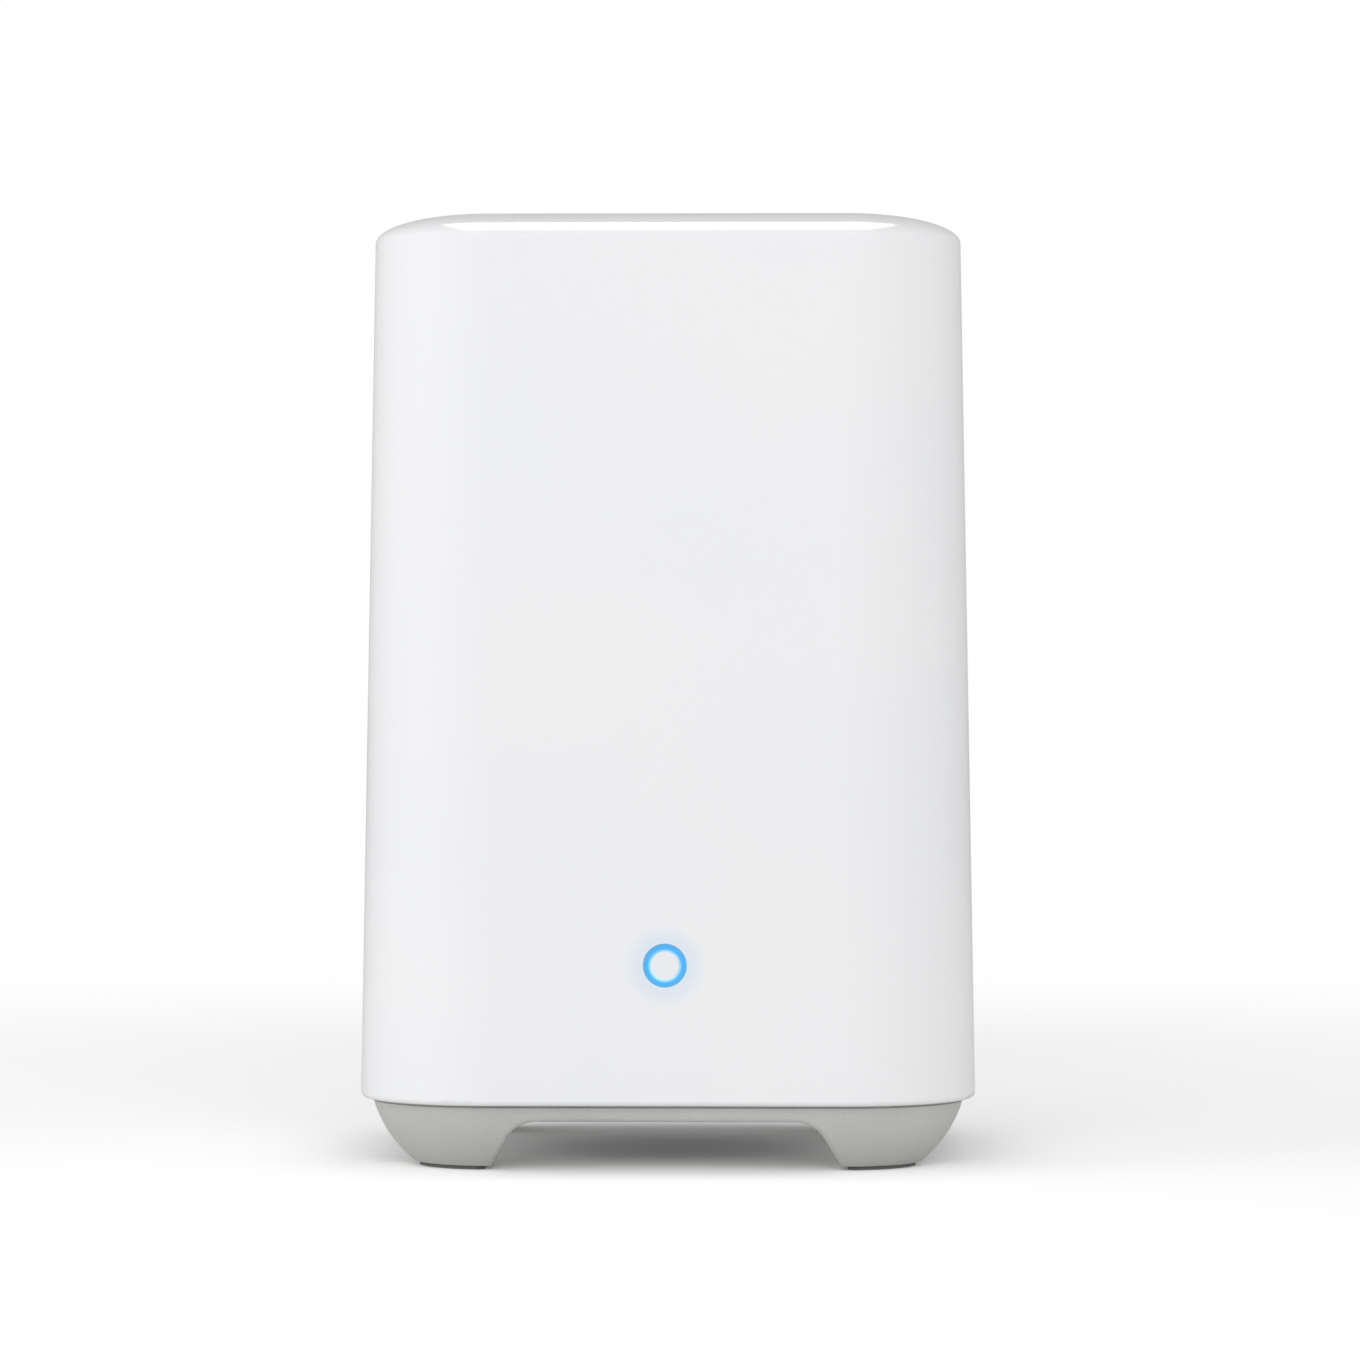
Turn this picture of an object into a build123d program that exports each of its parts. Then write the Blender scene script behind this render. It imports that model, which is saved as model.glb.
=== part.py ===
from build123d import *
import math
import os

# Security camera base station, in millimetres. It stands on z = 0 with its centre on the origin,
# the status light faces -Y and the sockets face +Y.

# Whole body
body_width = 74.2
body_height = 114.5
shell_bottom_z = 8.1
draft_angle = 1.0
corner_radius = 16.0
overrun = 1.0
close_gap = 0.05
slide_gap = 0.15
free_gap = 0.3
quarter_turn = 90.0

# Cover: a moulded tube with a closed, crowned top
shell_wall = 2.2
shell_edge_radius = 0.7
crown_rise = 3.5
crown_run_share = 0.88
boss_radius = 3.6
boss_height = 14.0
boss_rib_thickness = 1.6
boss_rib_clearance = 0.5

# Base: four feet with an arch between each two
shell_overhang = 1.5
shadow_gap = 0.3
ledge_step = 0.35
base_draw_in = 4.9
base_side_radius = 15.0
pad_reveal = 0.5
foot_length = 9.6
arch_top_z = 6.1
arch_lean = 3.35
arch_corner_radius = 4.2
arch_edge_radius = 0.7
rim_height = 3.2
rim_thickness = 1.6
pad_thickness = 1.2
pad_inset = 0.6
pad_corner_radius = 1.2

# Screws: head radius, head height, shank radius, length under the head
base_screw = (2.6, 1.8, 1.25, 12.0)
frame_screw = (2.2, 1.6, 1.0, 7.0)
board_screw = (2.2, 1.4, 1.0, 4.4)
led_screw = (1.2, 0.9, 0.6, 2.6)
speaker_screw = (3.2, 1.5, 0.8, 3.2)
foot_screw_offset = 3.6
foot_screw_seat_z = 3.6
recess_depth_share = 0.6
recess_span_share = 1.1
recess_width_share = 0.28
head_round_share = 0.5

# Speaker: faces down through the base
grille_thickness = 0.8
grille_hole_radius = 0.8
grille_ring_pitch = 3.1
grille_rings = 4
grille_holes_per_ring = 6
grille_edge = 1.0
gasket_thickness = 0.8
gasket_width = 1.8
speaker_radius = 18.0
flange_width = 2.4
flange_thickness = 1.2
basket_wall = 0.8
basket_flange_seat = 1.6
basket_neck_radius = 10.0
basket_height = 9.6
basket_window_width = 7.0
basket_window_height = 3.2
basket_window_rise = 2.6
speaker_post_radius = 2.3
pole_plate_radius = 9.5
pole_plate_thickness = 1.5
magnet_radius = 10.0
magnet_bore_radius = 5.2
magnet_thickness = 4.0
pole_radius = 3.6
coil_inner_radius = 3.9
coil_wall = 0.25
winding_wall = 0.2
winding_height = 3.0
coil_gap = 0.25
coil_top_clearance = 1.6
cone_rim_inset = 4.6
cone_height = 3.6
cone_thickness = 0.5
dome_rise = 1.6
surround_width = 1.9
surround_rise = 0.8
surround_lip = 0.8
surround_thickness = 0.3
spider_drop = 2.2
spider_rise = 0.6
spider_thickness = 0.25
spider_waves = 3
terminal_width = 6.0
terminal_thickness = 1.1
terminal_height = 4.0
speaker_post_clearance = 0.3

# Chassis
frame_seat_z = 14.0
frame_plate_thickness = 2.0
frame_side_inset = 6.0
frame_end_inset = 15.0
frame_plate_chamfer = 10.0
frame_post_radius = 2.8
frame_post_inset = 4.0
frame_post_y = 8.0
carrier_thickness = 2.0
standoff_height = 3.0
standoff_radius = 2.5
carrier_window = (26.0, 34.0)
carrier_window_centre = (2.0, 60.0)
carrier_margin = 2.0
carrier_arch = (22.0, 11.0)
gusset_inset = 4.0
gusset_height = 26.0
gusset_reach = 13.0
gusset_thickness = 1.6
shelf_width = 44.0
shelf_depth = 34.0
shelf_thickness = 2.0
shelf_lip = 2.6
shelf_lip_thickness = 1.2
shelf_slot = (7.0, 18.0)
shelf_headroom = 16.0
shelf_above_board = 2.0
upright_thickness = 2.0
upright_leg_width = 2.8
upright_bar_height = 3.0

# Main board
board_thickness = 1.6
board_face_x = -6.7
board_front_y = -16.0
board_bottom_z = 28.0
board_tail_front_y = 13.5
board_rear_setback = 2.1
board_hole_inset = 4.0
board_low_hole_rise = 3.0
board_tail_hole_rise = 3.6
board_tail_hole_in = 2.7
soc_size = 15.0
soc_thickness = 1.2
sink_centre = (-2.6, 57.0)
sink_size = 26.0
sink_base_thickness = 2.0
sink_fin_height = 6.0
sink_fin_thickness = 1.2
sink_fins = 7
wifi_shield_size = (20.0, 14.0)
wifi_shield_height = 2.4
wifi_shield_wall = 0.3
wifi_shield_drop = 12.0
wifi_shield_y = 2.0
shield_hole_radius = 0.6
shield_hole_pitch = 3.0
memory_size = (7.0, 11.0)
memory_thickness = 1.0
memory_centre = (14.2, 60.0)
memory_pitch = 13.0
capacitor_radius = 3.0
capacitor_height = 8.0
capacitor_pitch = 7.2
capacitor_middle = (0.8, 38.0)
capacitor_groove_depth = 0.4
capacitor_groove_height = 0.8
capacitor_groove_rise = 1.6
header_size = (6.0, 4.0)
header_height = 5.0
header_centre = (8.0, 31.0)
antenna_socket_size = 3.0
antenna_socket_height = 0.6
antenna_stud_radius = 1.0
antenna_stud_height = 0.6
antenna_socket_drop = 2.2
antenna_socket_first_y = 0.0
antenna_socket_pitch = 8.0
flex_socket_size = (2.6, 9.6)
flex_socket_height = 2.0
flex_socket_y = -13.3
flex_z = 38.3
flex_width = 8.0
flex_thickness = 0.3
flex_slot_depth = 1.2

# Rear panel and its bay in the cover
bay_width = 22.0
bay_low_z = 15.0
bay_high_z = 86.0
bay_corner_radius = 4.0
panel_face_stand = 1.7
panel_flange_margin = 3.0
panel_flange_thickness = 1.4
panel_wall = 1.6
panel_wall_gap = 0.1
stake_radius = 0.8
stake_head_radius = 1.4
stake_head_height = 0.7
stake_inset = 1.5
window_gap = 0.3
window_corner_radius = 0.8
mouth_gap = 0.3

# Network socket
network_z = 37.5
network_height = 13.4
network_width = 16.0
network_length = 21.3
can_sheet = 0.3
network_mouth = (7.2, 12.0)
network_latch = (2.0, 6.4)
network_mouth_depth = 14.0
network_contact_count = 8
network_contact_pitch = 1.02
network_contact_width = 0.45
network_contact_thickness = 0.3
network_contact_foot = 2.4
network_contact_inset = 1.2
network_contact_run = 7.4
network_contact_drop = 1.9

# USB socket
usb_z = 56.5
usb_width = 13.1
usb_height = 5.7
usb_length = 14.0
usb_back_thickness = 1.2
usb_block_depth = 3.0
usb_tongue_width = 11.1
usb_tongue_thickness = 1.85
usb_tongue_offset = 1.2
usb_tongue_setback = 0.8
usb_contact_pitch = 2.3
usb_contact_width = 1.2
usb_contact_thickness = 0.2
usb_contact_setback = 1.0
usb_contact_length = 7.0

# Power inlet
power_z = 22.0
power_width = 9.0
power_length = 13.5
power_head_height = 5.3
power_bore_radius = 3.0
power_bore_depth = 10.0
power_pin_radius = 1.0
power_pin_setback = 1.4
power_slot_width = 2.4
power_slot_rise = 3.9
power_slot_setback = 2.4
power_slot_length = 7.0
power_spring_width = 1.6
power_spring_thickness = 0.3
power_spring_dip = 0.9
power_spring_foot = 1.0
power_window_radius = 4.4

# Buttons and their switches
sync_z = 77.0
sync_cap_radius = 4.4
sync_cap_proud = 0.6
sync_cap_round = 0.5
sync_cap_dish = 0.3
sync_collar_radius = 5.2
sync_collar_thickness = 0.8
sync_stem_radius = 1.2
reset_z = 68.0
reset_hole_radius = 0.9
switch_axis_height = 2.8
switch_height = 5.2
switch_width = 6.0
switch_depth = 3.5
switch_board_inset = 1.7
plunger_radius = 1.3
plunger_length = 2.5
plunger_stand = 1.2
plunger_spare = 0.5

# Status light
ring_z = 24.78
ring_radius = 2.55
ring_bore_radius = 1.75
ring_length = 5.1
ring_collar_radius = 3.75
ring_collar_thickness = 1.0
cap_length = 4.0
led_gap = 0.2
led_thickness = 0.4
led_size = 1.2
led_count = 4
led_board_width = 20.0
led_board_thickness = 1.0
led_board_low_z = 17.5
led_board_high_z = 46.8
led_screw_inset = 1.4
led_screw_low_z = 20.0
led_screw_high_z = 44.5

# Antennas and their leads
wifi_antenna_size = (24.0, 10.0)
band_antenna_size = (30.0, 12.0)
antenna_thickness = 0.8
antenna_side_inset = 5.0
cleat_size = (3.0, 2.0)
cleat_height = 4.0
coax_radius = 0.45
coax_plug_radius = 1.3
coax_plug_height = 1.0
coax_bend = 2.0
coax_out = 3.0
coax_rise = 3.2
lead_wire_radius = 0.5
lead_wire_pitch = 1.2
lead_bend = 3.0
lead_straight = 6.0

# Places worked out from the sizes above
corner_centre = body_width / 2 - corner_radius
corners = [(x * corner_centre, y * corner_centre) for x in (-1, 1) for y in (-1, 1)]


def half_width_at(z):
    """Half the cover's outside width at height z."""
    return body_width / 2 - (z - shell_bottom_z) * math.tan(math.radians(draft_angle))


crown_z = body_height - crown_rise
crown_run = (half_width_at(crown_z) - corner_centre) * crown_run_share
base_top_half = body_width / 2 - shell_overhang
foot_half = base_top_half - base_draw_in
arch_low_half = foot_half - foot_length
rim_half = body_width / 2 - shell_wall - free_gap
foot_screws = [
    (x * (corner_centre + foot_screw_offset), y * (corner_centre + foot_screw_offset))
    for x in (-1, 1)
    for y in (-1, 1)
]

basket_foot_radius = speaker_radius - basket_flange_seat
grille_radius = basket_foot_radius
cone_radius = speaker_radius - cone_rim_inset
gasket_top_z = shell_bottom_z + gasket_thickness
flange_top_z = gasket_top_z + flange_thickness
basket_top_z = gasket_top_z + basket_height
pole_plate_top_z = basket_top_z + pole_plate_thickness
magnet_top_z = pole_plate_top_z + magnet_thickness
cone_top_z = gasket_top_z + cone_height
coil_radius = coil_inner_radius + coil_wall
coil_top_z = magnet_top_z - coil_top_clearance
speaker_post_reach = speaker_radius + speaker_post_clearance + speaker_post_radius

frame_floor_z = frame_seat_z + frame_plate_thickness
frame_plate_width = body_width - 2 * frame_side_inset
frame_plate_depth = body_width - 2 * frame_end_inset
frame_post_x = frame_plate_width / 2 - frame_post_inset
board_tail_bottom_z = frame_floor_z + free_gap
frame_posts = [(x * frame_post_x, y * frame_post_y) for x in (-1, 1) for y in (-1, 1)]
board_back_x = board_face_x - board_thickness
carrier_face_x = board_back_x - standoff_height
carrier_back_x = carrier_face_x - carrier_thickness
antenna_x = shelf_width / 2 - antenna_side_inset
shelf_z = body_height - shell_wall - shelf_headroom - shelf_thickness
shelf_top_z = shelf_z + shelf_thickness
board_top_z = shelf_z - shelf_above_board

flange_high_z = bay_high_z + panel_flange_margin
flange_front_y = half_width_at(flange_high_z) - shell_wall - panel_wall_gap
flange_back_y = flange_front_y - panel_flange_thickness
panel_face_y = flange_front_y + panel_face_stand
panel_inner_y = panel_face_y - panel_wall
bay_middle_z = (bay_low_z + bay_high_z) / 2
mouth_y = panel_inner_y - mouth_gap
board_rear_y = mouth_y - board_rear_setback
network_x = board_face_x + network_height / 2
board_holes = [
    (board_front_y + board_hole_inset, board_bottom_z + board_low_hole_rise),
    (board_front_y + board_hole_inset, board_top_z - board_hole_inset),
    (board_rear_y - board_hole_inset, board_top_z - board_hole_inset),
    (board_tail_front_y + board_tail_hole_in, board_tail_bottom_z + board_tail_hole_rise),
]
switch_x = board_face_x + switch_axis_height
switch_face_y = board_rear_y - switch_board_inset
plunger_tip_y = switch_face_y + plunger_stand

ring_face_y = -half_width_at(ring_z)
ring_plane = Plane(
    origin=(0, ring_face_y, ring_z),
    x_dir=(1, 0, 0),
    z_dir=(0, -math.cos(math.radians(draft_angle)), math.sin(math.radians(draft_angle))),
)
led_board_y = ring_face_y + ring_length + led_gap + led_thickness
led_board_back_y = led_board_y + led_board_thickness
upright_back_y = led_board_back_y + upright_thickness
upright_high_z = led_board_high_z
antenna_sockets_at = [
    (antenna_socket_first_y + n * antenna_socket_pitch, board_top_z - antenna_socket_drop)
    for n in range(2)
]


def level(z):
    """Flat plane at height z, facing up."""
    return Plane.XY.offset(z)


def upright(y):
    """Upright plane at y that faces the front, with X to the right and Z up."""
    return Plane.XZ.offset(-y)


def sideways(x):
    """Upright plane at x that faces +X, with Y to the right and Z up."""
    return Plane.YZ.offset(x)


def block(plane, centre, size, depth, corner=0, mode=Mode.ADD):
    """A block that stands on plane, with rounded corners where a radius is given."""
    with BuildSketch(plane) as outline:
        with Locations(centre):
            if corner:
                RectangleRounded(size[0], size[1], corner)
            else:
                Rectangle(size[0], size[1])
    extrude(outline.sketch, amount=depth, mode=mode)


def discs(plane, centres, radius, depth, mode=Mode.ADD):
    """Round discs or pins that stand on plane, one at each centre."""
    with BuildSketch(plane) as outline:
        with Locations(*centres):
            Circle(radius)
    extrude(outline.sketch, amount=depth, mode=mode)


def ring(plane, centre, radius, bore_radius, depth):
    """A tube that stands on plane."""
    with BuildSketch(plane) as outline:
        with Locations(centre):
            Circle(radius)
            Circle(bore_radius, mode=Mode.SUBTRACT)
    extrude(outline.sketch, amount=depth)


def turned(points, mode=Mode.ADD):
    """A solid turned about the vertical axis from points given as radius and height."""
    with BuildSketch(Plane.XZ) as section:
        with BuildLine():
            Polyline(*points, close=True)
        make_face()
    revolve(section.sketch, axis=Axis.Z, mode=mode)


def screws(plane, centres, sizes):
    """Pan head screws with a cross recess, whose heads stand on plane."""
    head_radius, head_height, shank_radius, length = sizes
    with BuildSketch(plane) as heads:
        with Locations(*centres):
            Circle(head_radius)
    head = extrude(heads.sketch, amount=head_height)
    along = Axis(plane.origin, plane.z_dir)
    fillet(head.edges().filter_by(GeomType.CIRCLE).group_by(along)[-1], head_height * head_round_share)
    with BuildSketch(plane.offset(head_height * (1 - recess_depth_share))) as recess:
        with Locations(*centres):
            Rectangle(head_radius * recess_span_share, head_radius * recess_width_share)
            Rectangle(head_radius * recess_width_share, head_radius * recess_span_share)
    extrude(recess.sketch, amount=head_height, mode=Mode.SUBTRACT)
    discs(plane, centres, shank_radius, -length)


def wire(points, bend, radius):
    """A round wire along straight runs joined by bends."""
    with BuildLine() as route:
        FilletPolyline(*points, radius=bend)
    with BuildSketch(Plane(origin=points[0], z_dir=route.line % 0)) as section:
        Circle(radius)
    sweep(section.sketch, path=route.line)


def square_turning(draw_profile, mode=Mode.ADD):
    """A rounded square solid. Its side profile runs straight along four sides and turns about the
    four corner centres. draw_profile(reach) draws it closed, reach further out than the centre."""
    for section_plane in (Plane.XZ, Plane.YZ):
        with BuildSketch(section_plane) as section:
            with BuildLine():
                draw_profile(corner_centre)
            make_face()
            mirror(about=Plane.YZ)
        extrude(section.sketch, amount=corner_centre, both=True, mode=mode)
    for x, y in corners:
        with BuildSketch(Plane(origin=(x, y, 0), x_dir=(1, 0, 0), z_dir=(0, -1, 0))) as section:
            with BuildLine():
                draw_profile(0)
            make_face()
        revolve(section.sketch, axis=Axis((x, y, 0), (0, 0, 1)), mode=mode)


def cover_profile(inset, low_z):
    """The cover's side profile, set in by inset from the outside."""

    def draw(reach):
        low = (reach + half_width_at(low_z) - inset - corner_centre, low_z)
        shoulder = (reach + half_width_at(crown_z) - inset - corner_centre, crown_z)
        rise = crown_rise - inset
        run = crown_run - inset
        middle = (shoulder[0] - run, crown_z)
        Line((0, low_z), low)
        Line(low, shoulder)
        EllipticalCenterArc(middle, run, rise, start_angle=0, arc_size=quarter_turn)
        Line((middle[0], crown_z + rise), (0, crown_z + rise))
        Line((0, crown_z + rise), (0, low_z))

    return draw


def base_profile(reach):
    """The base's side: an arc from the foot up to a ledge that the cover stands on."""
    foot = (reach + foot_half - corner_centre, pad_reveal)
    top = (reach + base_top_half - corner_centre, shell_bottom_z - shadow_gap)
    ledge = (top[0] - ledge_step, top[1])
    Line((0, pad_reveal), foot)
    RadiusArc(foot, top, -base_side_radius)
    Line(top, ledge)
    Line(ledge, (ledge[0], shell_bottom_z))
    Line((ledge[0], shell_bottom_z), (0, shell_bottom_z))
    Line((0, shell_bottom_z), (0, pad_reveal))


def pad_outline(grow):
    """The four foot pads' outline, made larger all round by grow."""
    half = foot_half - pad_inset + grow
    inner = arch_low_half + pad_inset - grow
    with BuildSketch(Plane.XY) as pads:
        RectangleRounded(2 * half, 2 * half, half - corner_centre)
        Rectangle(2 * inner, 2 * body_width, mode=Mode.SUBTRACT)
        Rectangle(2 * body_width, 2 * inner, mode=Mode.SUBTRACT)
        fillet(pads.vertices(), pad_corner_radius)
    return pads.sketch


os.makedirs("parts", exist_ok=True)

# Cover of white gloss plastic, open at the bottom
with BuildPart() as outer_shell:
    square_turning(cover_profile(0, shell_bottom_z))
    fillet(outer_shell.edges().group_by(Axis.Z)[0], shell_edge_radius)
    square_turning(cover_profile(shell_wall, shell_bottom_z - overrun), mode=Mode.SUBTRACT)
    # Bosses for the screws that come up through the feet, each with a rib to its corner
    discs(level(shell_bottom_z), foot_screws, boss_radius, boss_height)
    rib_low_z = shell_bottom_z + rim_height + boss_rib_clearance
    screw_reach = math.hypot(*foot_screws[0])
    wall_reach = math.hypot(*corners[0]) + corner_radius - shell_wall / 2
    with BuildSketch(level(rib_low_z)) as boss_ribs:
        with PolarLocations((screw_reach + wall_reach) / 2, 4, quarter_turn / 2):
            Rectangle(wall_reach - screw_reach, boss_rib_thickness)
    extrude(boss_ribs.sketch, amount=shell_bottom_z + boss_height - rib_low_z)
    discs(
        level(shell_bottom_z), foot_screws, base_screw[2] + close_gap, boss_height - boss_rib_thickness,
        mode=Mode.SUBTRACT,
    )
    # Bay for the rear panel, and the pins that are staked over its flange
    block(
        upright(body_width / 2 + overrun), (0, bay_middle_z), (bay_width, bay_high_z - bay_low_z),
        body_width / 2 + overrun - flange_back_y, bay_corner_radius, mode=Mode.SUBTRACT,
    )
    stake_x = bay_width / 2 + stake_inset
    stakes = [(x * stake_x, z) for x in (-1, 1) for z in (bay_low_z - stake_inset, bay_high_z + stake_inset)]
    for x, z in stakes:
        root_y = half_width_at(z) - shell_wall / 2
        discs(upright(root_y), [(x, z)], stake_radius, root_y - flange_back_y)
    discs(upright(flange_back_y), stakes, stake_head_radius, stake_head_height)
    fillet(outer_shell.edges().filter_by(GeomType.CIRCLE).filter_by_position(
        Axis.Y, flange_back_y - stake_head_height - close_gap, flange_back_y - stake_head_height + close_gap,
    ), stake_head_height * head_round_share)
    # Hole for the status light
    with BuildSketch(ring_plane) as light_hole:
        Circle(ring_radius + close_gap)
    extrude(light_hole.sketch, amount=shell_wall + overrun, both=True, mode=Mode.SUBTRACT)
outer_shell.part.label = "outer_shell"
export_step(outer_shell.part, "parts/outer_shell.step")

# The space between the feet: a cross whose sides lean in towards its top
with BuildPart() as arch_space:
    with BuildSketch(Plane.XY) as cross:
        Rectangle(2 * arch_low_half, 2 * body_width)
        Rectangle(2 * body_width, 2 * arch_low_half)
    extrude(cross.sketch, amount=arch_top_z, taper=math.degrees(math.atan(arch_lean / arch_top_z)))
    arch_top_edges = arch_space.edges().group_by(Axis.Z)[-1]
    fillet(
        [e for e in arch_top_edges if max(abs(e.center().X), abs(e.center().Y)) < body_width],
        arch_corner_radius,
    )

# Base of grey matt plastic
with BuildPart() as base_dish:
    square_turning(base_profile)
    add(arch_space.part, mode=Mode.SUBTRACT)
    arch_edges = [
        e for e in base_dish.edges()
        if max(abs(e.center().X), abs(e.center().Y)) > foot_half
        and min(abs(e.center().X), abs(e.center().Y)) < arch_low_half
        and pad_reveal < e.center().Z < arch_top_z + close_gap
    ]
    fillet(arch_edges, arch_edge_radius)
    # Rim that centres the cover
    with BuildSketch(level(shell_bottom_z)) as rim:
        rim_inner = rim_half - rim_thickness
        RectangleRounded(2 * rim_half, 2 * rim_half, rim_half - corner_centre)
        RectangleRounded(2 * rim_inner, 2 * rim_inner, rim_inner - corner_centre, mode=Mode.SUBTRACT)
    extrude(rim.sketch, amount=rim_height)
    # Posts for the chassis and for the speaker
    discs(level(shell_bottom_z), frame_posts, frame_post_radius, frame_seat_z - shell_bottom_z)
    with BuildSketch(level(shell_bottom_z)) as speaker_posts:
        with PolarLocations(speaker_post_reach, 4, quarter_turn / 2):
            Circle(speaker_post_radius)
    extrude(speaker_posts.sketch, amount=flange_top_z - shell_bottom_z)
    # Screw holes, the pads' pockets and the speaker's mouth with a seat for its grille
    extrude(pad_outline(slide_gap), amount=pad_thickness, mode=Mode.SUBTRACT)
    discs(
        level(0), foot_screws, base_screw[0] + free_gap, foot_screw_seat_z, mode=Mode.SUBTRACT,
    )
    discs(level(0), foot_screws, base_screw[2] + free_gap, shell_bottom_z + overrun, mode=Mode.SUBTRACT)
    frame_pilot_depth = frame_screw[3] - frame_plate_thickness + free_gap
    discs(level(frame_seat_z), frame_posts, frame_screw[2] + close_gap, -frame_pilot_depth, mode=Mode.SUBTRACT)
    with BuildSketch(level(flange_top_z)) as speaker_pilots:
        with PolarLocations(speaker_post_reach, 4, quarter_turn / 2):
            Circle(speaker_screw[2] + close_gap)
    extrude(speaker_pilots.sketch, amount=-(speaker_screw[3] + free_gap), mode=Mode.SUBTRACT)
    discs(level(arch_top_z), [(0, 0)], grille_radius + slide_gap, grille_thickness, mode=Mode.SUBTRACT)
    mouth_radius = grille_radius - grille_edge
    discs(level(arch_top_z), [(0, 0)], mouth_radius, shell_bottom_z - arch_top_z, mode=Mode.SUBTRACT)
base_dish.part.label = "base_dish"
export_step(base_dish.part, "parts/base_dish.step")

# Four rubber pads in the feet
with BuildPart() as foot_pads:
    extrude(pad_outline(0), amount=pad_thickness)
foot_pads.part.label = "foot_pads"
export_step(foot_pads.part, "parts/foot_pads.step")

# Screws that hold the base to the cover
with BuildPart() as base_screws:
    seat = Plane(origin=(0, 0, foot_screw_seat_z), x_dir=(1, 0, 0), z_dir=(0, 0, -1))
    screws(seat, foot_screws, base_screw)
base_screws.part.label = "base_screws"
export_step(base_screws.part, "parts/base_screws.step")

# Perforated disc below the speaker
with BuildPart() as speaker_grille:
    with BuildSketch(level(arch_top_z)) as perforated:
        Circle(grille_radius)
        Circle(grille_hole_radius, mode=Mode.SUBTRACT)
        for n in range(1, grille_rings + 1):
            with PolarLocations(n * grille_ring_pitch, n * grille_holes_per_ring):
                Circle(grille_hole_radius, mode=Mode.SUBTRACT)
    extrude(perforated.sketch, amount=grille_thickness)
speaker_grille.part.label = "speaker_grille"
export_step(speaker_grille.part, "parts/speaker_grille.step")

# Foam ring between the speaker and the base
with BuildPart() as speaker_gasket:
    ring(level(shell_bottom_z), (0, 0), speaker_radius, speaker_radius - gasket_width, gasket_thickness)
speaker_gasket.part.label = "speaker_gasket"
export_step(speaker_gasket.part, "parts/speaker_gasket.step")

# Pressed steel basket: a flange, a cone with four windows and a top that carries the magnet
with BuildPart() as speaker_basket:
    turned([
        (speaker_radius, gasket_top_z),
        (speaker_radius, flange_top_z),
        (basket_foot_radius, flange_top_z),
        (basket_neck_radius, basket_top_z),
        (coil_radius + winding_wall + coil_gap, basket_top_z),
        (coil_radius + winding_wall + coil_gap, basket_top_z - basket_wall),
        (basket_neck_radius - basket_wall, basket_top_z - basket_wall),
        (basket_foot_radius - basket_wall, flange_top_z - basket_wall),
        (speaker_radius - flange_width, gasket_top_z),
    ])
    window_z = flange_top_z + basket_window_rise
    for window_plane in (Plane.XZ, Plane.YZ):
        block(
            window_plane.offset(-speaker_radius), (0, window_z), (basket_window_width, basket_window_height),
            2 * speaker_radius, mode=Mode.SUBTRACT,
        )
speaker_basket.part.label = "speaker_basket"
export_step(speaker_basket.part, "parts/speaker_basket.step")

with BuildPart() as speaker_top_plate:
    gap_radius = coil_radius + winding_wall + coil_gap
    ring(level(basket_top_z), (0, 0), pole_plate_radius, gap_radius, pole_plate_thickness)
speaker_top_plate.part.label = "speaker_top_plate"
export_step(speaker_top_plate.part, "parts/speaker_top_plate.step")

with BuildPart() as speaker_magnet:
    ring(level(pole_plate_top_z), (0, 0), magnet_radius, magnet_bore_radius, magnet_thickness)
speaker_magnet.part.label = "speaker_magnet"
export_step(speaker_magnet.part, "parts/speaker_magnet.step")

# Back plate with the pole that the coil moves around
with BuildPart() as speaker_yoke:
    discs(level(magnet_top_z), [(0, 0)], pole_plate_radius, pole_plate_thickness)
    discs(level(basket_top_z), [(0, 0)], pole_radius, magnet_top_z - basket_top_z)
speaker_yoke.part.label = "speaker_yoke"
export_step(speaker_yoke.part, "parts/speaker_yoke.step")

# Paper cone with its dust cap
with BuildPart() as speaker_cone:
    with BuildSketch(Plane.XZ) as cone_section:
        with BuildLine():
            rim_inner = cone_radius - surround_lip
            Polyline(
                (rim_inner, gasket_top_z), (cone_radius, gasket_top_z),
                (cone_radius, gasket_top_z + cone_thickness), (rim_inner, gasket_top_z + cone_thickness),
                (coil_radius, cone_top_z + cone_thickness), (coil_radius, cone_top_z), close=True,
            )
        make_face()
    revolve(cone_section.sketch, axis=Axis.Z)
    with BuildSketch(Plane.XZ) as dome_section:
        with BuildLine():
            dome_edge = (coil_radius + cone_thickness, cone_top_z)
            SagittaArc(dome_edge, (-dome_edge[0], dome_edge[1]), dome_rise)
            Line(dome_edge, (-dome_edge[0], dome_edge[1]))
        make_face()
        split(bisect_by=Plane.YZ)
    revolve(dome_section.sketch, axis=Axis.Z)
speaker_cone.part.label = "speaker_cone"
export_step(speaker_cone.part, "parts/speaker_cone.step")

# Coil former with its copper winding
with BuildPart() as voice_coil:
    former_low_z = cone_top_z + cone_thickness
    ring(level(former_low_z), (0, 0), coil_radius, coil_inner_radius, coil_top_z - former_low_z)
    winding_radius = coil_radius + winding_wall
    winding_low_z = (basket_top_z + pole_plate_top_z - winding_height) / 2
    ring(level(winding_low_z), (0, 0), winding_radius, coil_inner_radius, winding_height)
voice_coil.part.label = "voice_coil"
export_step(voice_coil.part, "parts/voice_coil.step")

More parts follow.
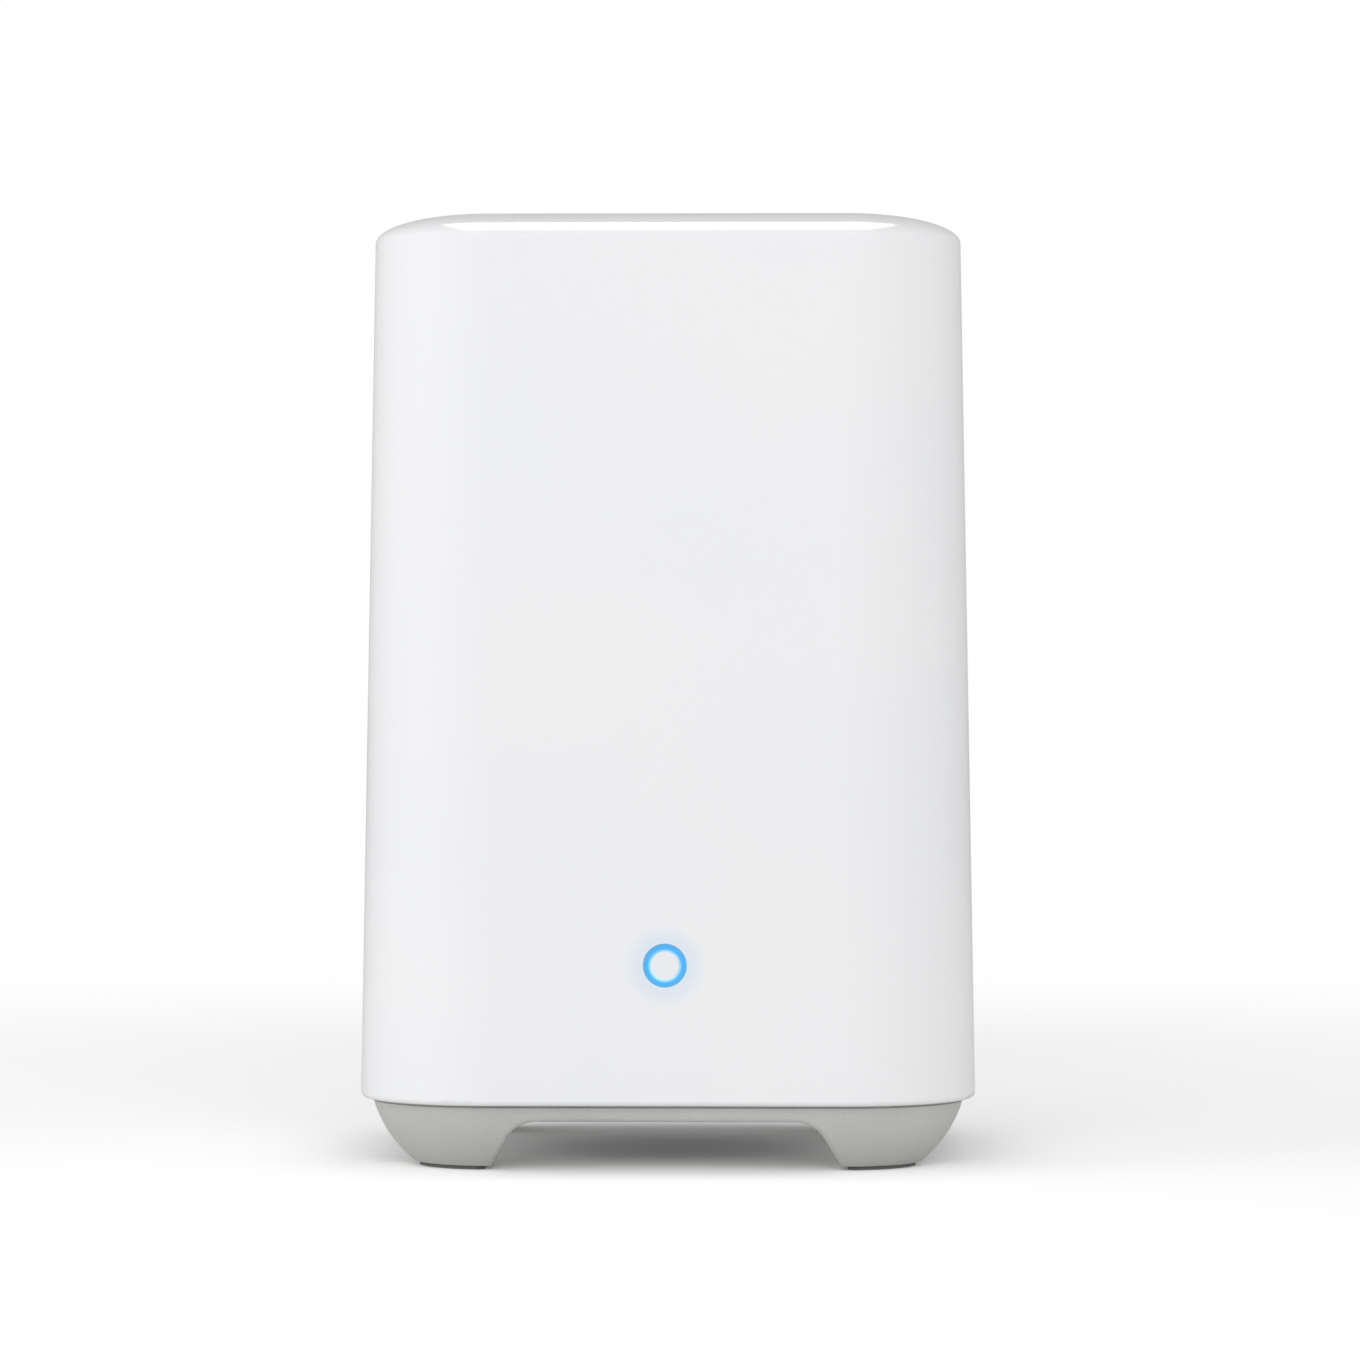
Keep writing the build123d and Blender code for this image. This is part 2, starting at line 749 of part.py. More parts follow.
# Half roll of rubber, glued under the cone's rim and under the basket's flange
with BuildPart() as speaker_surround:
    with BuildSketch(Plane.XZ) as surround_section:
        with BuildLine() as roll:
            roll_z = gasket_top_z - surround_thickness / 2
            roll_outer = cone_radius + surround_width
            Line((cone_radius - surround_lip, roll_z), (cone_radius, roll_z))
            SagittaArc((cone_radius, roll_z), (roll_outer, roll_z), -surround_rise)
            Line((roll_outer, roll_z), (roll_outer + surround_lip, roll_z))
        trace(roll.line, line_width=surround_thickness)
    revolve(surround_section.sketch, axis=Axis.Z)
speaker_surround.part.label = "speaker_surround"
export_step(speaker_surround.part, "parts/speaker_surround.step")

# Corrugated cloth disc that centres the coil
with BuildPart() as speaker_spider:
    spider_z = basket_top_z - spider_drop
    slope = (basket_foot_radius - basket_neck_radius) / (basket_top_z - flange_top_z)
    spider_outer = basket_foot_radius - slope * (spider_z - flange_top_z) - 2 * basket_wall
    spider_inner = coil_radius + spider_thickness
    spider_step = (spider_outer - spider_inner) / (2 * spider_waves)
    spider_points = [
        (spider_inner + n * spider_step, spider_z + spider_rise * (n % 2)) for n in range(2 * spider_waves + 1)
    ]
    with BuildSketch(Plane.XZ) as spider_section:
        with BuildLine() as wave:
            Polyline(*spider_points)
        trace(wave.line, line_width=spider_thickness)
    revolve(spider_section.sketch, axis=Axis.Z)
speaker_spider.part.label = "speaker_spider"
export_step(speaker_spider.part, "parts/speaker_spider.step")

# Tag that the speaker's leads are soldered to
with BuildPart() as speaker_terminal:
    terminal_x = speaker_radius - terminal_thickness / 2
    block(level(flange_top_z), (terminal_x, 0), (terminal_thickness, terminal_width), terminal_height)
speaker_terminal.part.label = "speaker_terminal"
export_step(speaker_terminal.part, "parts/speaker_terminal.step")

with BuildPart() as speaker_screws:
    diagonal = speaker_post_reach * math.cos(math.radians(quarter_turn / 2))
    speaker_posts_at = [(x * diagonal, y * diagonal) for x in (-1, 1) for y in (-1, 1)]
    screws(level(flange_top_z), speaker_posts_at, speaker_screw)
speaker_screws.part.label = "speaker_screws"
export_step(speaker_screws.part, "parts/speaker_screws.step")

# Chassis: a floor plate, an upright carrier for the main board, a front upright for the light's
# board and a shelf for the antennas
with BuildPart() as inner_frame:
    with BuildSketch(level(frame_seat_z)) as floor_plate:
        Rectangle(frame_plate_width, frame_plate_depth)
        chamfer(floor_plate.vertices(), frame_plate_chamfer)
        with Locations((0, (led_board_back_y - frame_plate_depth / 2) / 2)):
            Rectangle(led_board_width, -frame_plate_depth / 2 - led_board_back_y)
        Circle(speaker_radius + 2 * free_gap, mode=Mode.SUBTRACT)
        with Locations(*frame_posts):
            Circle(frame_screw[2] + slide_gap, mode=Mode.SUBTRACT)
    extrude(floor_plate.sketch, amount=frame_plate_thickness)
    # Carrier beside the board
    carrier_low_y = board_front_y - carrier_margin
    carrier_high_y = board_rear_y - carrier_margin
    carrier_centre = ((carrier_low_y + carrier_high_y) / 2, (frame_floor_z + shelf_z) / 2)
    carrier_size = (carrier_high_y - carrier_low_y, shelf_z - frame_floor_z)
    block(sideways(carrier_back_x), carrier_centre, carrier_size, carrier_thickness)
    block(
        sideways(carrier_back_x - overrun), carrier_window_centre, carrier_window,
        carrier_thickness + 2 * overrun, bay_corner_radius, mode=Mode.SUBTRACT,
    )
    block(
        sideways(carrier_back_x - overrun), (0, frame_floor_z + carrier_arch[1] / 2), carrier_arch,
        carrier_thickness + 2 * overrun, mode=Mode.SUBTRACT,
    )
    discs(sideways(carrier_back_x), board_holes, standoff_radius, carrier_thickness + standoff_height)
    # Gussets behind the carrier
    for y in (carrier_low_y + gusset_thickness / 2, frame_plate_depth / 2 - gusset_inset):
        with BuildSketch(upright(y + gusset_thickness / 2)) as gusset:
            with BuildLine():
                Polyline(
                    (carrier_back_x, frame_floor_z), (carrier_back_x - gusset_reach, frame_floor_z),
                    (carrier_back_x, frame_floor_z + gusset_height), close=True,
                )
            make_face()
        extrude(gusset.sketch, amount=gusset_thickness)
    # Front upright: two legs and two bars
    upright_middle_z = (frame_floor_z + upright_high_z) / 2
    upright_height = upright_high_z - frame_floor_z
    block(upright(upright_back_y), (0, upright_middle_z), (led_board_width, upright_height), upright_thickness)
    block(
        upright(upright_back_y + overrun), (0, upright_middle_z),
        (led_board_width - 2 * upright_leg_width, upright_height - 2 * upright_bar_height),
        upright_thickness + 2 * overrun, mode=Mode.SUBTRACT,
    )
    # Shelf with a lip round it and cleats that hold the antennas
    block(level(shelf_z), (0, 0), (shelf_width, shelf_depth), shelf_thickness)
    with BuildSketch(level(shelf_top_z)) as lip:
        Rectangle(shelf_width, shelf_depth)
        Rectangle(
            shelf_width - 2 * shelf_lip_thickness, shelf_depth - 2 * shelf_lip_thickness, mode=Mode.SUBTRACT,
        )
    extrude(lip.sketch, amount=shelf_lip)
    slot_x = board_face_x + shelf_slot[0] / 2
    slot_y = (antenna_sockets_at[0][0] + antenna_sockets_at[1][0]) / 2
    block(
        level(shelf_z - overrun), (slot_x, slot_y), shelf_slot, shelf_thickness + 2 * overrun,
        mode=Mode.SUBTRACT,
    )
    cleat_step = antenna_thickness + 2 * close_gap + cleat_size[1]
    for side in (-1, 1):
        for end in (-1, 1):
            for face in (-1, 1):
                cleat_x = side * antenna_x + face * cleat_step / 2
                cleat_y = end * (wifi_antenna_size[0] - cleat_size[0]) / 2
                block(level(shelf_top_z), (cleat_x, cleat_y), (cleat_size[1], cleat_size[0]), cleat_height)
    # Screw holes
    discs(sideways(board_back_x), board_holes, board_screw[2] + close_gap,
          -(board_screw[3] - board_thickness + free_gap), mode=Mode.SUBTRACT)
    led_screws_at = [
        (led_screw_inset - led_board_width / 2, led_screw_high_z),
        (led_board_width / 2 - led_screw_inset, led_screw_low_z),
    ]
    discs(upright(upright_back_y), led_screws_at, led_screw[2] + close_gap, upright_thickness, mode=Mode.SUBTRACT)
inner_frame.part.label = "inner_frame"
export_step(inner_frame.part, "parts/inner_frame.step")

with BuildPart() as frame_screws:
    screws(level(frame_floor_z), frame_posts, frame_screw)
frame_screws.part.label = "frame_screws"
export_step(frame_screws.part, "parts/frame_screws.step")

# Main board, with a tail that reaches down to the power inlet
with BuildPart() as main_board:
    with BuildSketch(sideways(board_back_x)) as board_outline:
        with BuildLine():
            Polyline(
                (board_front_y, board_bottom_z), (board_tail_front_y, board_bottom_z),
                (board_tail_front_y, board_tail_bottom_z), (board_rear_y, board_tail_bottom_z),
                (board_rear_y, board_top_z), (board_front_y, board_top_z), close=True,
            )
        make_face()
        with Locations(*board_holes):
            Circle(board_screw[2] + slide_gap, mode=Mode.SUBTRACT)
    extrude(board_outline.sketch, amount=board_thickness)
main_board.part.label = "main_board"
export_step(main_board.part, "parts/main_board.step")

with BuildPart() as board_screws:
    screws(sideways(board_face_x), board_holes, board_screw)
board_screws.part.label = "board_screws"
export_step(board_screws.part, "parts/board_screws.step")

with BuildPart() as soc_chip:
    block(sideways(board_face_x), sink_centre, (soc_size, soc_size), soc_thickness)
soc_chip.part.label = "soc_chip"
export_step(soc_chip.part, "parts/soc_chip.step")

# Finned aluminium block on the processor
with BuildPart() as heat_sink:
    sink_x = board_face_x + soc_thickness
    block(sideways(sink_x), sink_centre, (sink_size, sink_size), sink_base_thickness)
    with BuildSketch(sideways(sink_x + sink_base_thickness)) as fins:
        with Locations(sink_centre):
            fin_pitch = (sink_size - sink_fin_thickness) / (sink_fins - 1)
            with GridLocations(fin_pitch, 0, sink_fins, 1):
                Rectangle(sink_fin_thickness, sink_size)
    extrude(fins.sketch, amount=sink_fin_height)
heat_sink.part.label = "heat_sink"
export_step(heat_sink.part, "parts/heat_sink.step")

# Pressed can over the radio, open towards the board
with BuildPart() as wifi_shield:
    shield_centre = (wifi_shield_y, board_top_z - wifi_shield_drop)
    block(sideways(board_face_x), shield_centre, wifi_shield_size, wifi_shield_height)
    shield_hollow = (wifi_shield_size[0] - 2 * wifi_shield_wall, wifi_shield_size[1] - 2 * wifi_shield_wall)
    block(
        sideways(board_face_x), shield_centre, shield_hollow, wifi_shield_height - wifi_shield_wall,
        mode=Mode.SUBTRACT,
    )
    with BuildSketch(sideways(board_face_x + wifi_shield_height)) as vents:
        with Locations(shield_centre):
            with GridLocations(shield_hole_pitch, shield_hole_pitch, 5, 3):
                Circle(shield_hole_radius)
    extrude(vents.sketch, amount=-wifi_shield_wall, mode=Mode.SUBTRACT)
wifi_shield.part.label = "wifi_shield"
export_step(wifi_shield.part, "parts/wifi_shield.step")

with BuildPart() as memory_chips:
    memory_spots = [(memory_centre[0], memory_centre[1] + side * memory_pitch / 2) for side in (-1, 1)]
    for spot in memory_spots:
        block(sideways(board_face_x), spot, memory_size, memory_thickness)
memory_chips.part.label = "memory_chips"
export_step(memory_chips.part, "parts/memory_chips.step")

# Three capacitor cans, each with the groove that is rolled in above its seal
with BuildPart() as capacitors:
    can_spots = [(capacitor_middle[0] + n * capacitor_pitch, capacitor_middle[1]) for n in (-1, 0, 1)]
    discs(sideways(board_face_x), can_spots, capacitor_radius, capacitor_height)
    with BuildSketch(sideways(board_face_x + capacitor_groove_rise)) as grooves:
        with Locations(*can_spots):
            Circle(capacitor_radius + overrun)
            Circle(capacitor_radius - capacitor_groove_depth, mode=Mode.SUBTRACT)
    extrude(grooves.sketch, amount=capacitor_groove_height, mode=Mode.SUBTRACT)
capacitors.part.label = "capacitors"
export_step(capacitors.part, "parts/capacitors.step")

with BuildPart() as speaker_header:
    block(sideways(board_face_x), header_centre, header_size, header_height)
speaker_header.part.label = "speaker_header"
export_step(speaker_header.part, "parts/speaker_header.step")

with BuildPart() as antenna_sockets:
    for spot in antenna_sockets_at:
        block(sideways(board_face_x), spot, (antenna_socket_size, antenna_socket_size), antenna_socket_height)
    stud_plane = sideways(board_face_x + antenna_socket_height)
    discs(stud_plane, antenna_sockets_at, antenna_stud_radius, antenna_stud_height)
antenna_sockets.part.label = "antenna_sockets"
export_step(antenna_sockets.part, "parts/antenna_sockets.step")

# Sockets at the two ends of the light's flat lead
with BuildPart() as flex_sockets:
    flex_x = board_face_x + flex_socket_height / 2
    block(sideways(board_face_x), (flex_socket_y, flex_z), flex_socket_size, flex_socket_height)
    flex_front_y = flex_socket_y - flex_socket_size[0] / 2
    slot_size = (flex_thickness + 2 * close_gap, flex_width + 2 * close_gap)
    block(
        upright(flex_front_y + flex_slot_depth), (flex_x, flex_z), slot_size, flex_slot_depth,
        mode=Mode.SUBTRACT,
    )
    far_back_y = led_board_back_y + flex_socket_height
    far_size = (flex_socket_size[0], flex_socket_size[1])
    block(upright(far_back_y), (flex_x, flex_z), far_size, flex_socket_height)
    block(upright(far_back_y), (flex_x, flex_z), slot_size, flex_slot_depth, mode=Mode.SUBTRACT)
flex_sockets.part.label = "flex_sockets"
export_step(flex_sockets.part, "parts/flex_sockets.step")

# Rear panel: a tray that fills the cover's bay, with a flange that lies behind the cover's wall
bay_height = bay_high_z - bay_low_z
with BuildPart() as rear_panel:
    flange_size = (bay_width + 2 * panel_flange_margin, bay_height + 2 * panel_flange_margin)
    block(upright(flange_front_y), (0, bay_middle_z), flange_size, panel_flange_thickness)
    plug_size = (bay_width - 2 * slide_gap, bay_height - 2 * slide_gap)
    block(
        upright(panel_face_y), (0, bay_middle_z), plug_size, panel_face_stand,
        bay_corner_radius - slide_gap,
    )
    pocket_size = (plug_size[0] - 2 * panel_wall, plug_size[1] - 2 * panel_wall)
    block(
        upright(panel_inner_y), (0, bay_middle_z), pocket_size, panel_inner_y - flange_back_y,
        bay_corner_radius - panel_wall, mode=Mode.SUBTRACT,
    )
    # Windows in front of the sockets, holes for the button and the reset pin, and for the stakes
    windows = (
        (network_x, network_z, network_height, network_width),
        (0, usb_z, usb_height, usb_width),
    )
    for x, z, across, up in windows:
        block(
            upright(panel_face_y), (x, z), (across + 2 * window_gap, up + 2 * window_gap), panel_wall,
            window_corner_radius, mode=Mode.SUBTRACT,
        )
    discs(upright(panel_face_y), [(0, power_z)], power_window_radius, panel_wall, mode=Mode.SUBTRACT)
    discs(upright(panel_face_y), [(0, sync_z)], sync_cap_radius + slide_gap, panel_wall, mode=Mode.SUBTRACT)
    discs(upright(panel_face_y), [(switch_x, reset_z)], reset_hole_radius, panel_wall, mode=Mode.SUBTRACT)
    discs(
        upright(flange_front_y), stakes, stake_radius + close_gap, panel_flange_thickness, mode=Mode.SUBTRACT,
    )
rear_panel.part.label = "rear_panel"
export_step(rear_panel.part, "parts/rear_panel.step")

# Network socket: a metal can round a moulded core, with eight spring wires
with BuildPart() as network_shell:
    block(upright(mouth_y), (network_x, network_z), (network_height, network_width), network_length)
    block(
        upright(mouth_y), (network_x, network_z),
        (network_height - 2 * can_sheet, network_width - 2 * can_sheet), network_length - can_sheet,
        mode=Mode.SUBTRACT,
    )
network_shell.part.label = "network_shell"
export_step(network_shell.part, "parts/network_shell.step")

core_x = network_height - 2 * can_sheet
core_z = network_width - 2 * can_sheet
with BuildPart() as network_core:
    block(upright(mouth_y), (network_x, network_z), (core_x, core_z), network_length - can_sheet)
    block(
        upright(mouth_y), (network_x, network_z), network_mouth, network_mouth_depth, mode=Mode.SUBTRACT,
    )
    latch_x = network_x - network_mouth[0] / 2 - network_latch[0] / 2
    block(upright(mouth_y), (latch_x, network_z), network_latch, network_mouth_depth, mode=Mode.SUBTRACT)
network_core.part.label = "network_core"
export_step(network_core.part, "parts/network_core.step")

with BuildPart() as network_contacts:
    ceiling_x = network_x + network_mouth[0] / 2 - network_contact_thickness / 2
    foot_y = mouth_y - network_contact_inset
    heel_y = foot_y - network_contact_foot
    tip = (ceiling_x - network_contact_drop, heel_y - network_contact_run)
    first = -(network_contact_count - 1) / 2
    for n in range(network_contact_count):
        contact_z = network_z + (first + n) * network_contact_pitch - network_contact_width / 2
        with BuildSketch(level(contact_z)) as spring:
            with BuildLine() as bent:
                Polyline((ceiling_x, foot_y), (ceiling_x, heel_y), tip)
            trace(bent.line, line_width=network_contact_thickness)
        extrude(spring.sketch, amount=network_contact_width)
network_contacts.part.label = "network_contacts"
export_step(network_contacts.part, "parts/network_contacts.step")

# USB socket: a metal can raised on a moulded core that carries the tongue
usb_back_y = mouth_y - usb_length
with BuildPart() as usb_shell:
    block(upright(mouth_y), (0, usb_z), (usb_height, usb_width), usb_length)
    block(
        upright(mouth_y), (0, usb_z), (usb_height - 2 * can_sheet, usb_width - 2 * can_sheet), usb_length,
        mode=Mode.SUBTRACT,
    )
usb_shell.part.label = "usb_shell"
export_step(usb_shell.part, "parts/usb_shell.step")

with BuildPart() as usb_core:
    usb_inner = (usb_height - 2 * can_sheet, usb_width - 2 * can_sheet)
    riser_height = -usb_height / 2 - board_face_x
    riser_x = board_face_x + riser_height / 2
    block(upright(board_rear_y), (riser_x, usb_z), (riser_height, usb_inner[1]), board_rear_y - usb_back_y)
    plate_height = usb_inner[0] / 2 - board_face_x
    block(
        upright(usb_back_y), (board_face_x + plate_height / 2, usb_z), (plate_height, usb_inner[1]),
        usb_back_thickness,
    )
    block(upright(usb_back_y + usb_block_depth), (0, usb_z), usb_inner, usb_block_depth)
    tongue_length = usb_length - usb_block_depth - usb_tongue_setback
    block(
        upright(mouth_y - usb_tongue_setback), (usb_tongue_offset, usb_z),
        (usb_tongue_thickness, usb_tongue_width), tongue_length,
    )
usb_core.part.label = "usb_core"
export_step(usb_core.part, "parts/usb_core.step")

with BuildPart() as usb_contacts:
    contact_face_x = usb_tongue_offset - usb_tongue_thickness / 2
    contact_y = mouth_y - usb_tongue_setback - usb_contact_setback - usb_contact_length / 2
    for n in (-1.5, -0.5, 0.5, 1.5):
        block(
            sideways(contact_face_x - usb_contact_thickness), (contact_y, usb_z + n * usb_contact_pitch),
            (usb_contact_length, usb_contact_width), usb_contact_thickness,
        )
usb_contacts.part.label = "usb_contacts"
export_step(usb_contacts.part, "parts/usb_contacts.step")

# Power inlet: a moulded housing with a round mouth, its centre pin and its side contact
slot_high_y = mouth_y - power_slot_setback
with BuildPart() as power_jack:
    housing_height = power_head_height - board_face_x
    housing_x = board_face_x + housing_height / 2
    block(upright(mouth_y), (housing_x, power_z), (housing_height, power_width), power_length)
    discs(upright(mouth_y), [(0, power_z)], power_bore_radius, power_bore_depth, mode=Mode.SUBTRACT)
    block(
        upright(slot_high_y), (0, power_z + power_slot_rise / 2), (power_slot_width, power_slot_rise),
        power_slot_length, mode=Mode.SUBTRACT,
    )
power_jack.part.label = "power_jack"
export_step(power_jack.part, "parts/power_jack.step")

with BuildPart() as power_pin:
    pin_length = power_bore_depth - power_pin_setback
    discs(upright(mouth_y - power_pin_setback), [(0, power_z)], power_pin_radius, pin_length)
    fillet(power_pin.edges().group_by(Axis.Y)[-1], power_pin_radius * head_round_share)
power_pin.part.label = "power_pin"
export_step(power_pin.part, "parts/power_pin.step")

with BuildPart() as power_spring:
    leaf_z = power_z + power_slot_rise - power_spring_thickness / 2
    slot_low_y = slot_high_y - power_slot_length
    with BuildSketch(sideways(-power_spring_width / 2)) as leaf_section:
        with BuildLine() as leaf:
            Polyline(
                (slot_low_y, leaf_z), (slot_low_y + power_spring_foot, leaf_z),
                ((slot_low_y + slot_high_y) / 2, leaf_z - power_spring_dip),
                (slot_high_y - power_spring_foot, leaf_z), (slot_high_y, leaf_z),
            )
        trace(leaf.line, line_width=power_spring_thickness)
    extrude(leaf_section.sketch, amount=power_spring_width)
power_spring.part.label = "power_spring"
export_step(power_spring.part, "parts/power_spring.step")

# Sync button: a dished cap, the collar that keeps it in the panel and the stem that meets the switch
with BuildPart() as sync_button:
    cap_face_y = panel_face_y + sync_cap_proud
    discs(upright(cap_face_y), [(0, sync_z)], sync_cap_radius, cap_face_y - panel_inner_y)
    fillet(sync_button.edges().group_by(Axis.Y)[-1], sync_cap_round)
    dish_span = sync_cap_radius - 2 * sync_cap_round
    dish_radius = (dish_span ** 2 + sync_cap_dish ** 2) / (2 * sync_cap_dish)
    with Locations((0, cap_face_y + dish_radius - sync_cap_dish, sync_z)):
        Sphere(dish_radius, mode=Mode.SUBTRACT)
    discs(upright(panel_inner_y), [(0, sync_z)], sync_collar_radius, sync_collar_thickness)
    collar_back_y = panel_inner_y - sync_collar_thickness
    discs(upright(collar_back_y), [(switch_x, sync_z)], sync_stem_radius, collar_back_y - plunger_tip_y)
sync_button.part.label = "sync_button"
export_step(sync_button.part, "parts/sync_button.step")

# Two switches of one kind, each a body with a plunger
switch_middle_y = switch_face_y - switch_depth / 2
for name, switch_z in (("sync", sync_z), ("reset", reset_z)):
    with BuildPart() as switch_body:
        block(sideways(board_face_x), (switch_middle_y, switch_z), (switch_depth, switch_width), switch_height)
        bore_depth = plunger_length - plunger_stand + plunger_spare
        discs(
            upright(switch_face_y), [(switch_x, switch_z)], plunger_radius + close_gap, bore_depth,
            mode=Mode.SUBTRACT,
        )
    switch_body.part.label = name + "_switch"
    export_step(switch_body.part, "parts/" + name + "_switch.step")
    with BuildPart() as plunger:
        discs(upright(plunger_tip_y), [(switch_x, switch_z)], plunger_radius, plunger_length)
    plunger.part.label = name + "_plunger"
    export_step(plunger.part, "parts/" + name + "_plunger.step")

# Clear ring that carries the light through the front wall, glued in by its collar
with BuildPart() as light_guide:
    ring(ring_plane, (0, 0), ring_radius, ring_bore_radius, -ring_length)
    collar_plane = ring_plane.offset(-shell_wall - close_gap)
    ring(collar_plane, (0, 0), ring_collar_radius, ring_bore_radius, -ring_collar_thickness)
light_guide.part.label = "light_guide"
export_step(light_guide.part, "parts/light_guide.step")

with BuildPart() as ring_cap:
    discs(ring_plane, [(0, 0)], ring_bore_radius - close_gap, -cap_length)
ring_cap.part.label = "ring_cap"
export_step(ring_cap.part, "parts/ring_cap.step")

# Small board that carries the light's four diodes
with BuildPart() as led_board:
    led_board_middle = (0, (led_board_low_z + led_board_high_z) / 2)
    led_board_size = (led_board_width, led_board_high_z - led_board_low_z)
    block(upright(led_board_back_y), led_board_middle, led_board_size, led_board_thickness)
    discs(
        upright(led_board_back_y), led_screws_at, led_screw[2] + slide_gap, led_board_thickness,
        mode=Mode.SUBTRACT,
    )
led_board.part.label = "led_board"
export_step(led_board.part, "parts/led_board.step")

with BuildPart() as led_screws:
    screws(upright(led_board_y), led_screws_at, led_screw)
led_screws.part.label = "led_screws"
export_step(led_screws.part, "parts/led_screws.step")

with BuildPart() as status_leds:
    with BuildSketch(upright(led_board_y)) as diodes:
        with Locations((0, ring_z)):
            with PolarLocations((ring_radius + ring_bore_radius) / 2, led_count):
                Rectangle(led_size, led_size)
    extrude(diodes.sketch, amount=led_thickness)
status_leds.part.label = "status_leds"
export_step(status_leds.part, "parts/status_leds.step")

# Antenna boards that stand in the shelf's cleats
for name, side, size in (("wifi_antenna", 1, wifi_antenna_size), ("band_antenna", -1, band_antenna_size)):
    with BuildPart() as antenna:
        antenna_middle = (0, shelf_top_z + size[1] / 2)
        block(sideways(side * antenna_x - antenna_thickness / 2), antenna_middle, size, antenna_thickness)
    antenna.part.label = name
    export_step(antenna.part, "parts/" + name + ".step")

# Coaxial leads from the board's sockets up through the shelf to the antennas
stud_top_x = board_face_x + antenna_socket_height + antenna_stud_height
for name, side, spot in (("wifi_coax", 1, antenna_sockets_at[0]), ("band_coax", -1, antenna_sockets_at[1])):
    with BuildPart() as coax:
        plug_x = stud_top_x + coax_plug_height
        discs(sideways(stud_top_x), [spot], coax_plug_radius, coax_plug_height)
        turn_x = plug_x + coax_out
        far_x = side * (antenna_x - antenna_thickness / 2)
        far_z = shelf_top_z + coax_rise
        wire(
            [
                (plug_x, spot[0], spot[1]), (turn_x, spot[0], spot[1]),
                (turn_x, spot[0], far_z), (far_x, spot[0], far_z),
            ],
            coax_bend, coax_radius,
        )
    coax.part.label = name
    export_step(coax.part, "parts/" + name + ".step")

# Two wires from the speaker's tag to the board's header
header_top_x = board_face_x + header_height
with BuildPart() as speaker_lead:
    for side in (-1, 1):
        shift = side * lead_wire_pitch / 2
        tag_top_z = flange_top_z + terminal_height
        wire(
            [
                (terminal_x, shift, tag_top_z), (terminal_x, shift, tag_top_z + lead_straight),
                (terminal_x, header_centre[0] + shift, header_centre[1]),
                (header_top_x, header_centre[0] + shift, header_centre[1]),
            ],
            lead_bend, lead_wire_radius,
        )
speaker_lead.part.label = "speaker_lead"
export_step(speaker_lead.part, "parts/speaker_lead.step")

# Flat lead between the main board and the light's board
with BuildPart() as led_flex:
    flex_start_y = flex_front_y + flex_slot_depth
    flex_end_y = far_back_y - flex_slot_depth
    with BuildSketch(level(flex_z - flex_width / 2)) as strip:
        with Locations((flex_x, (flex_start_y + flex_end_y) / 2)):
            Rectangle(flex_thickness, flex_start_y - flex_end_y)
    extrude(strip.sketch, amount=flex_width)
led_flex.part.label = "led_flex"
export_step(led_flex.part, "parts/led_flex.step")
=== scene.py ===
import math
import bpy
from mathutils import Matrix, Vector


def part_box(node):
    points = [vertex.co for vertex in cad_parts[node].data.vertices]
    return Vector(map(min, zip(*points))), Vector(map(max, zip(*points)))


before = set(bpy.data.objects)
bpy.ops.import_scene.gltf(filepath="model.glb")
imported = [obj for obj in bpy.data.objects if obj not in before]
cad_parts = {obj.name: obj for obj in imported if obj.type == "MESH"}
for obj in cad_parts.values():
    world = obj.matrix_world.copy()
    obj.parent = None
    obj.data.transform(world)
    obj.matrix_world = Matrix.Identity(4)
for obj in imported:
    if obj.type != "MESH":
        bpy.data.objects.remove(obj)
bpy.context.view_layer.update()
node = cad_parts


# Cover: one injection moulding of white ABS in a mirror polished tool, pushed down over the base's rim
# and held by four screws from below. The polish gives crisp reflections, and the slow flow of the
# plastic leaves a very faint waviness in them.
def linear(hex_colour):
    """An sRGB hex colour as linear red, green, blue and alpha."""
    shares = [int(hex_colour[i:i + 2], 16) / 255 for i in (0, 2, 4)]
    return [s / 12.92 if s <= 0.04045 else ((s + 0.055) / 1.055) ** 2.4 for s in shares] + [1.0]


def add_node(tree, kind, settings, links):
    """Adds a node. A link's value is another node's output socket, or a plain value for the input."""
    made = tree.nodes.new(kind)
    for name, value in settings.items():
        setattr(made, name, value)
    for name, value in links.items():
        if isinstance(value, bpy.types.NodeSocket):
            tree.links.new(value, made.inputs[name])
        else:
            made.inputs[name].default_value = value
    return made


def new_material(name):
    """An empty node material, its tree, and the place on the object in metres."""
    material = bpy.data.materials.new(name)
    material.use_nodes = True
    tree = material.node_tree
    tree.nodes.clear()
    place = add_node(tree, "ShaderNodeTexCoord", {}, {}).outputs["Object"]
    return material, tree, place


def surface(tree, values):
    """The material's one principled shader, joined to its output."""
    shader = add_node(tree, "ShaderNodeBsdfPrincipled", {}, values)
    add_node(tree, "ShaderNodeOutputMaterial", {}, {"Surface": shader.outputs["BSDF"]})


def dress(material, *names):
    """Gives CAD nodes their finish."""
    for name in names:
        slots = node[name].data.materials
        slots.clear()
        slots.append(material)


ring_low, ring_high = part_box("light_guide")
ring_centre = Vector((0, ring_low.y, (ring_low.z + ring_high.z) / 2))
glow_start = 0.00255
glow_reach = 0.0030
glow_share = 0.55
flow_length = 0.030
ripple_length = 0.0025
ripple_depth = 0.0001
abs_ior = 1.53

